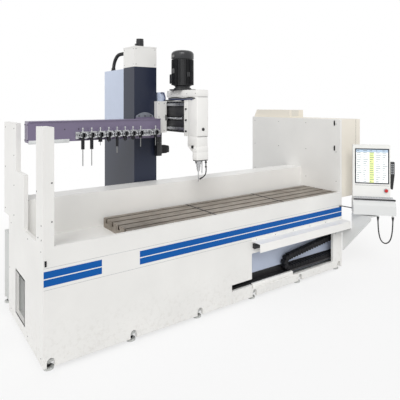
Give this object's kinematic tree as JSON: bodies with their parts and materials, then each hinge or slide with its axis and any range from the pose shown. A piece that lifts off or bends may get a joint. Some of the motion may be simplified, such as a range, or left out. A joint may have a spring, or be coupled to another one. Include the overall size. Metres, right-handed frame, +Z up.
{
  "type": "cnc drilling machine",
  "caption": "Travelling-column drilling machine: long bed with slotted table, sliding column with tool rack and vertical spindle head, and a console on a front rail.",
  "frame": {"origin": "centre of the machine's footprint at floor level", "axes": "+X to the right along the bed, +Y to the rear, +Z up"},
  "size_m": [4.136, 2.3274, 2.876],
  "materials": {
    "cream_panel": "satin",
    "machine_grey": "satin",
    "column_blue": "gloss",
    "beam_mauve": "satin",
    "table_iron": "machined",
    "black_steel": "satin",
    "bright_steel": "ground",
    "tray_cream": "satin",
    "cabinet_cream": "satin",
    "pale_blue": "satin",
    "motor_black": "satin",
    "plastic_black": "matt",
    "stop_red": "gloss",
    "console_grey": "satin",
    "screen_housing": "satin",
    "key_metal": "satin",
    "rubber_black": "matt",
    "conduit_grey": "matt",
    "saddle_cream": "satin"
  },
  "bodies": {
    "root": {"bed": "machine_grey", "front_panel": "cream_panel", "front_sill": "cream_panel", "levelling_feet": "black_steel", "left_end_panel": "cream_panel", "left_front_post": "cream_panel", "left_middle_panel": "cream_panel", "left_rear_wall": "cream_panel", "right_wall": "cream_panel", "right_end_panel": "cream_panel", "switch_cabinet": "cabinet_cream", "cooling_unit": "machine_grey", "rear_panel": "cream_panel", "chip_tray": "tray_cream", "splash_wall": "cream_panel", "table_plate_1": "table_iron", "table_plate_2": "table_iron", "table_plate_3": "table_iron", "guide_rails": "bright_steel", "drive_screw": "bright_steel", "chain_back_plate": "pale_blue", "chain_tray": "black_steel", "cable_chain": "plastic_black", "rail_hood": "cream_panel", "console_rail": "black_steel"},
    "column": {"column_carriage": "column_blue", "column": "column_blue", "column_cover": "cream_panel", "lift_motor": "motor_black", "column_cabinet": "machine_grey", "conduit": "conduit_grey", "tool_beam": "beam_mauve", "beam_bracket": "beam_mauve", "tool_rack": "bright_steel", "rack_tools": "black_steel"},
    "saddle": {"saddle": "saddle_cream", "ram_drive": "black_steel", "hose_box": "pale_blue"},
    "head": {"ram": "black_steel", "spindle_head": "saddle_cream", "belt_cover": "saddle_cream", "spindle_motor": "motor_black", "motor_terminal_box": "motor_black", "coolant_nozzles": "bright_steel"},
    "spindle": {"spindle_tool": "black_steel"},
    "console_carriage": {"console_bracket": "console_grey"},
    "console": {"console_box": "console_grey", "console_screen": "screen_housing", "console_keys": "key_metal", "stop_button": "stop_red", "hand_unit": "plastic_black", "hand_unit_cable": "rubber_black"}
  },
  "joints": [
    {"name": "column_travel", "type": "slide", "parent": "root", "child": "column", "axis": [1, 0, 0], "range_m": [-0.9, 1.85]},
    {"name": "saddle_lift", "type": "slide", "parent": "column", "child": "saddle", "axis": [0, 0, 1], "range_m": [-0.265, 0.35]},
    {"name": "ram_feed", "type": "slide", "parent": "saddle", "child": "head", "axis": [0, 1, 0], "range_m": [-0.2, 0.3]},
    {"name": "spindle_spin", "type": "hinge", "parent": "head", "child": "spindle", "pos_m": [-0.3705, -0.26931, 1.5], "axis": [0, 0, 1], "continuous": true},
    {"name": "console_travel", "type": "slide", "parent": "root", "child": "console_carriage", "axis": [1, 0, 0], "range_m": [-1.5, 0]},
    {"name": "console_swivel", "type": "hinge", "parent": "console_carriage", "child": "console", "pos_m": [1.831, -0.91731, 0.75], "axis": [0, 0, 1], "range_deg": [-20, 48]}
  ]
}
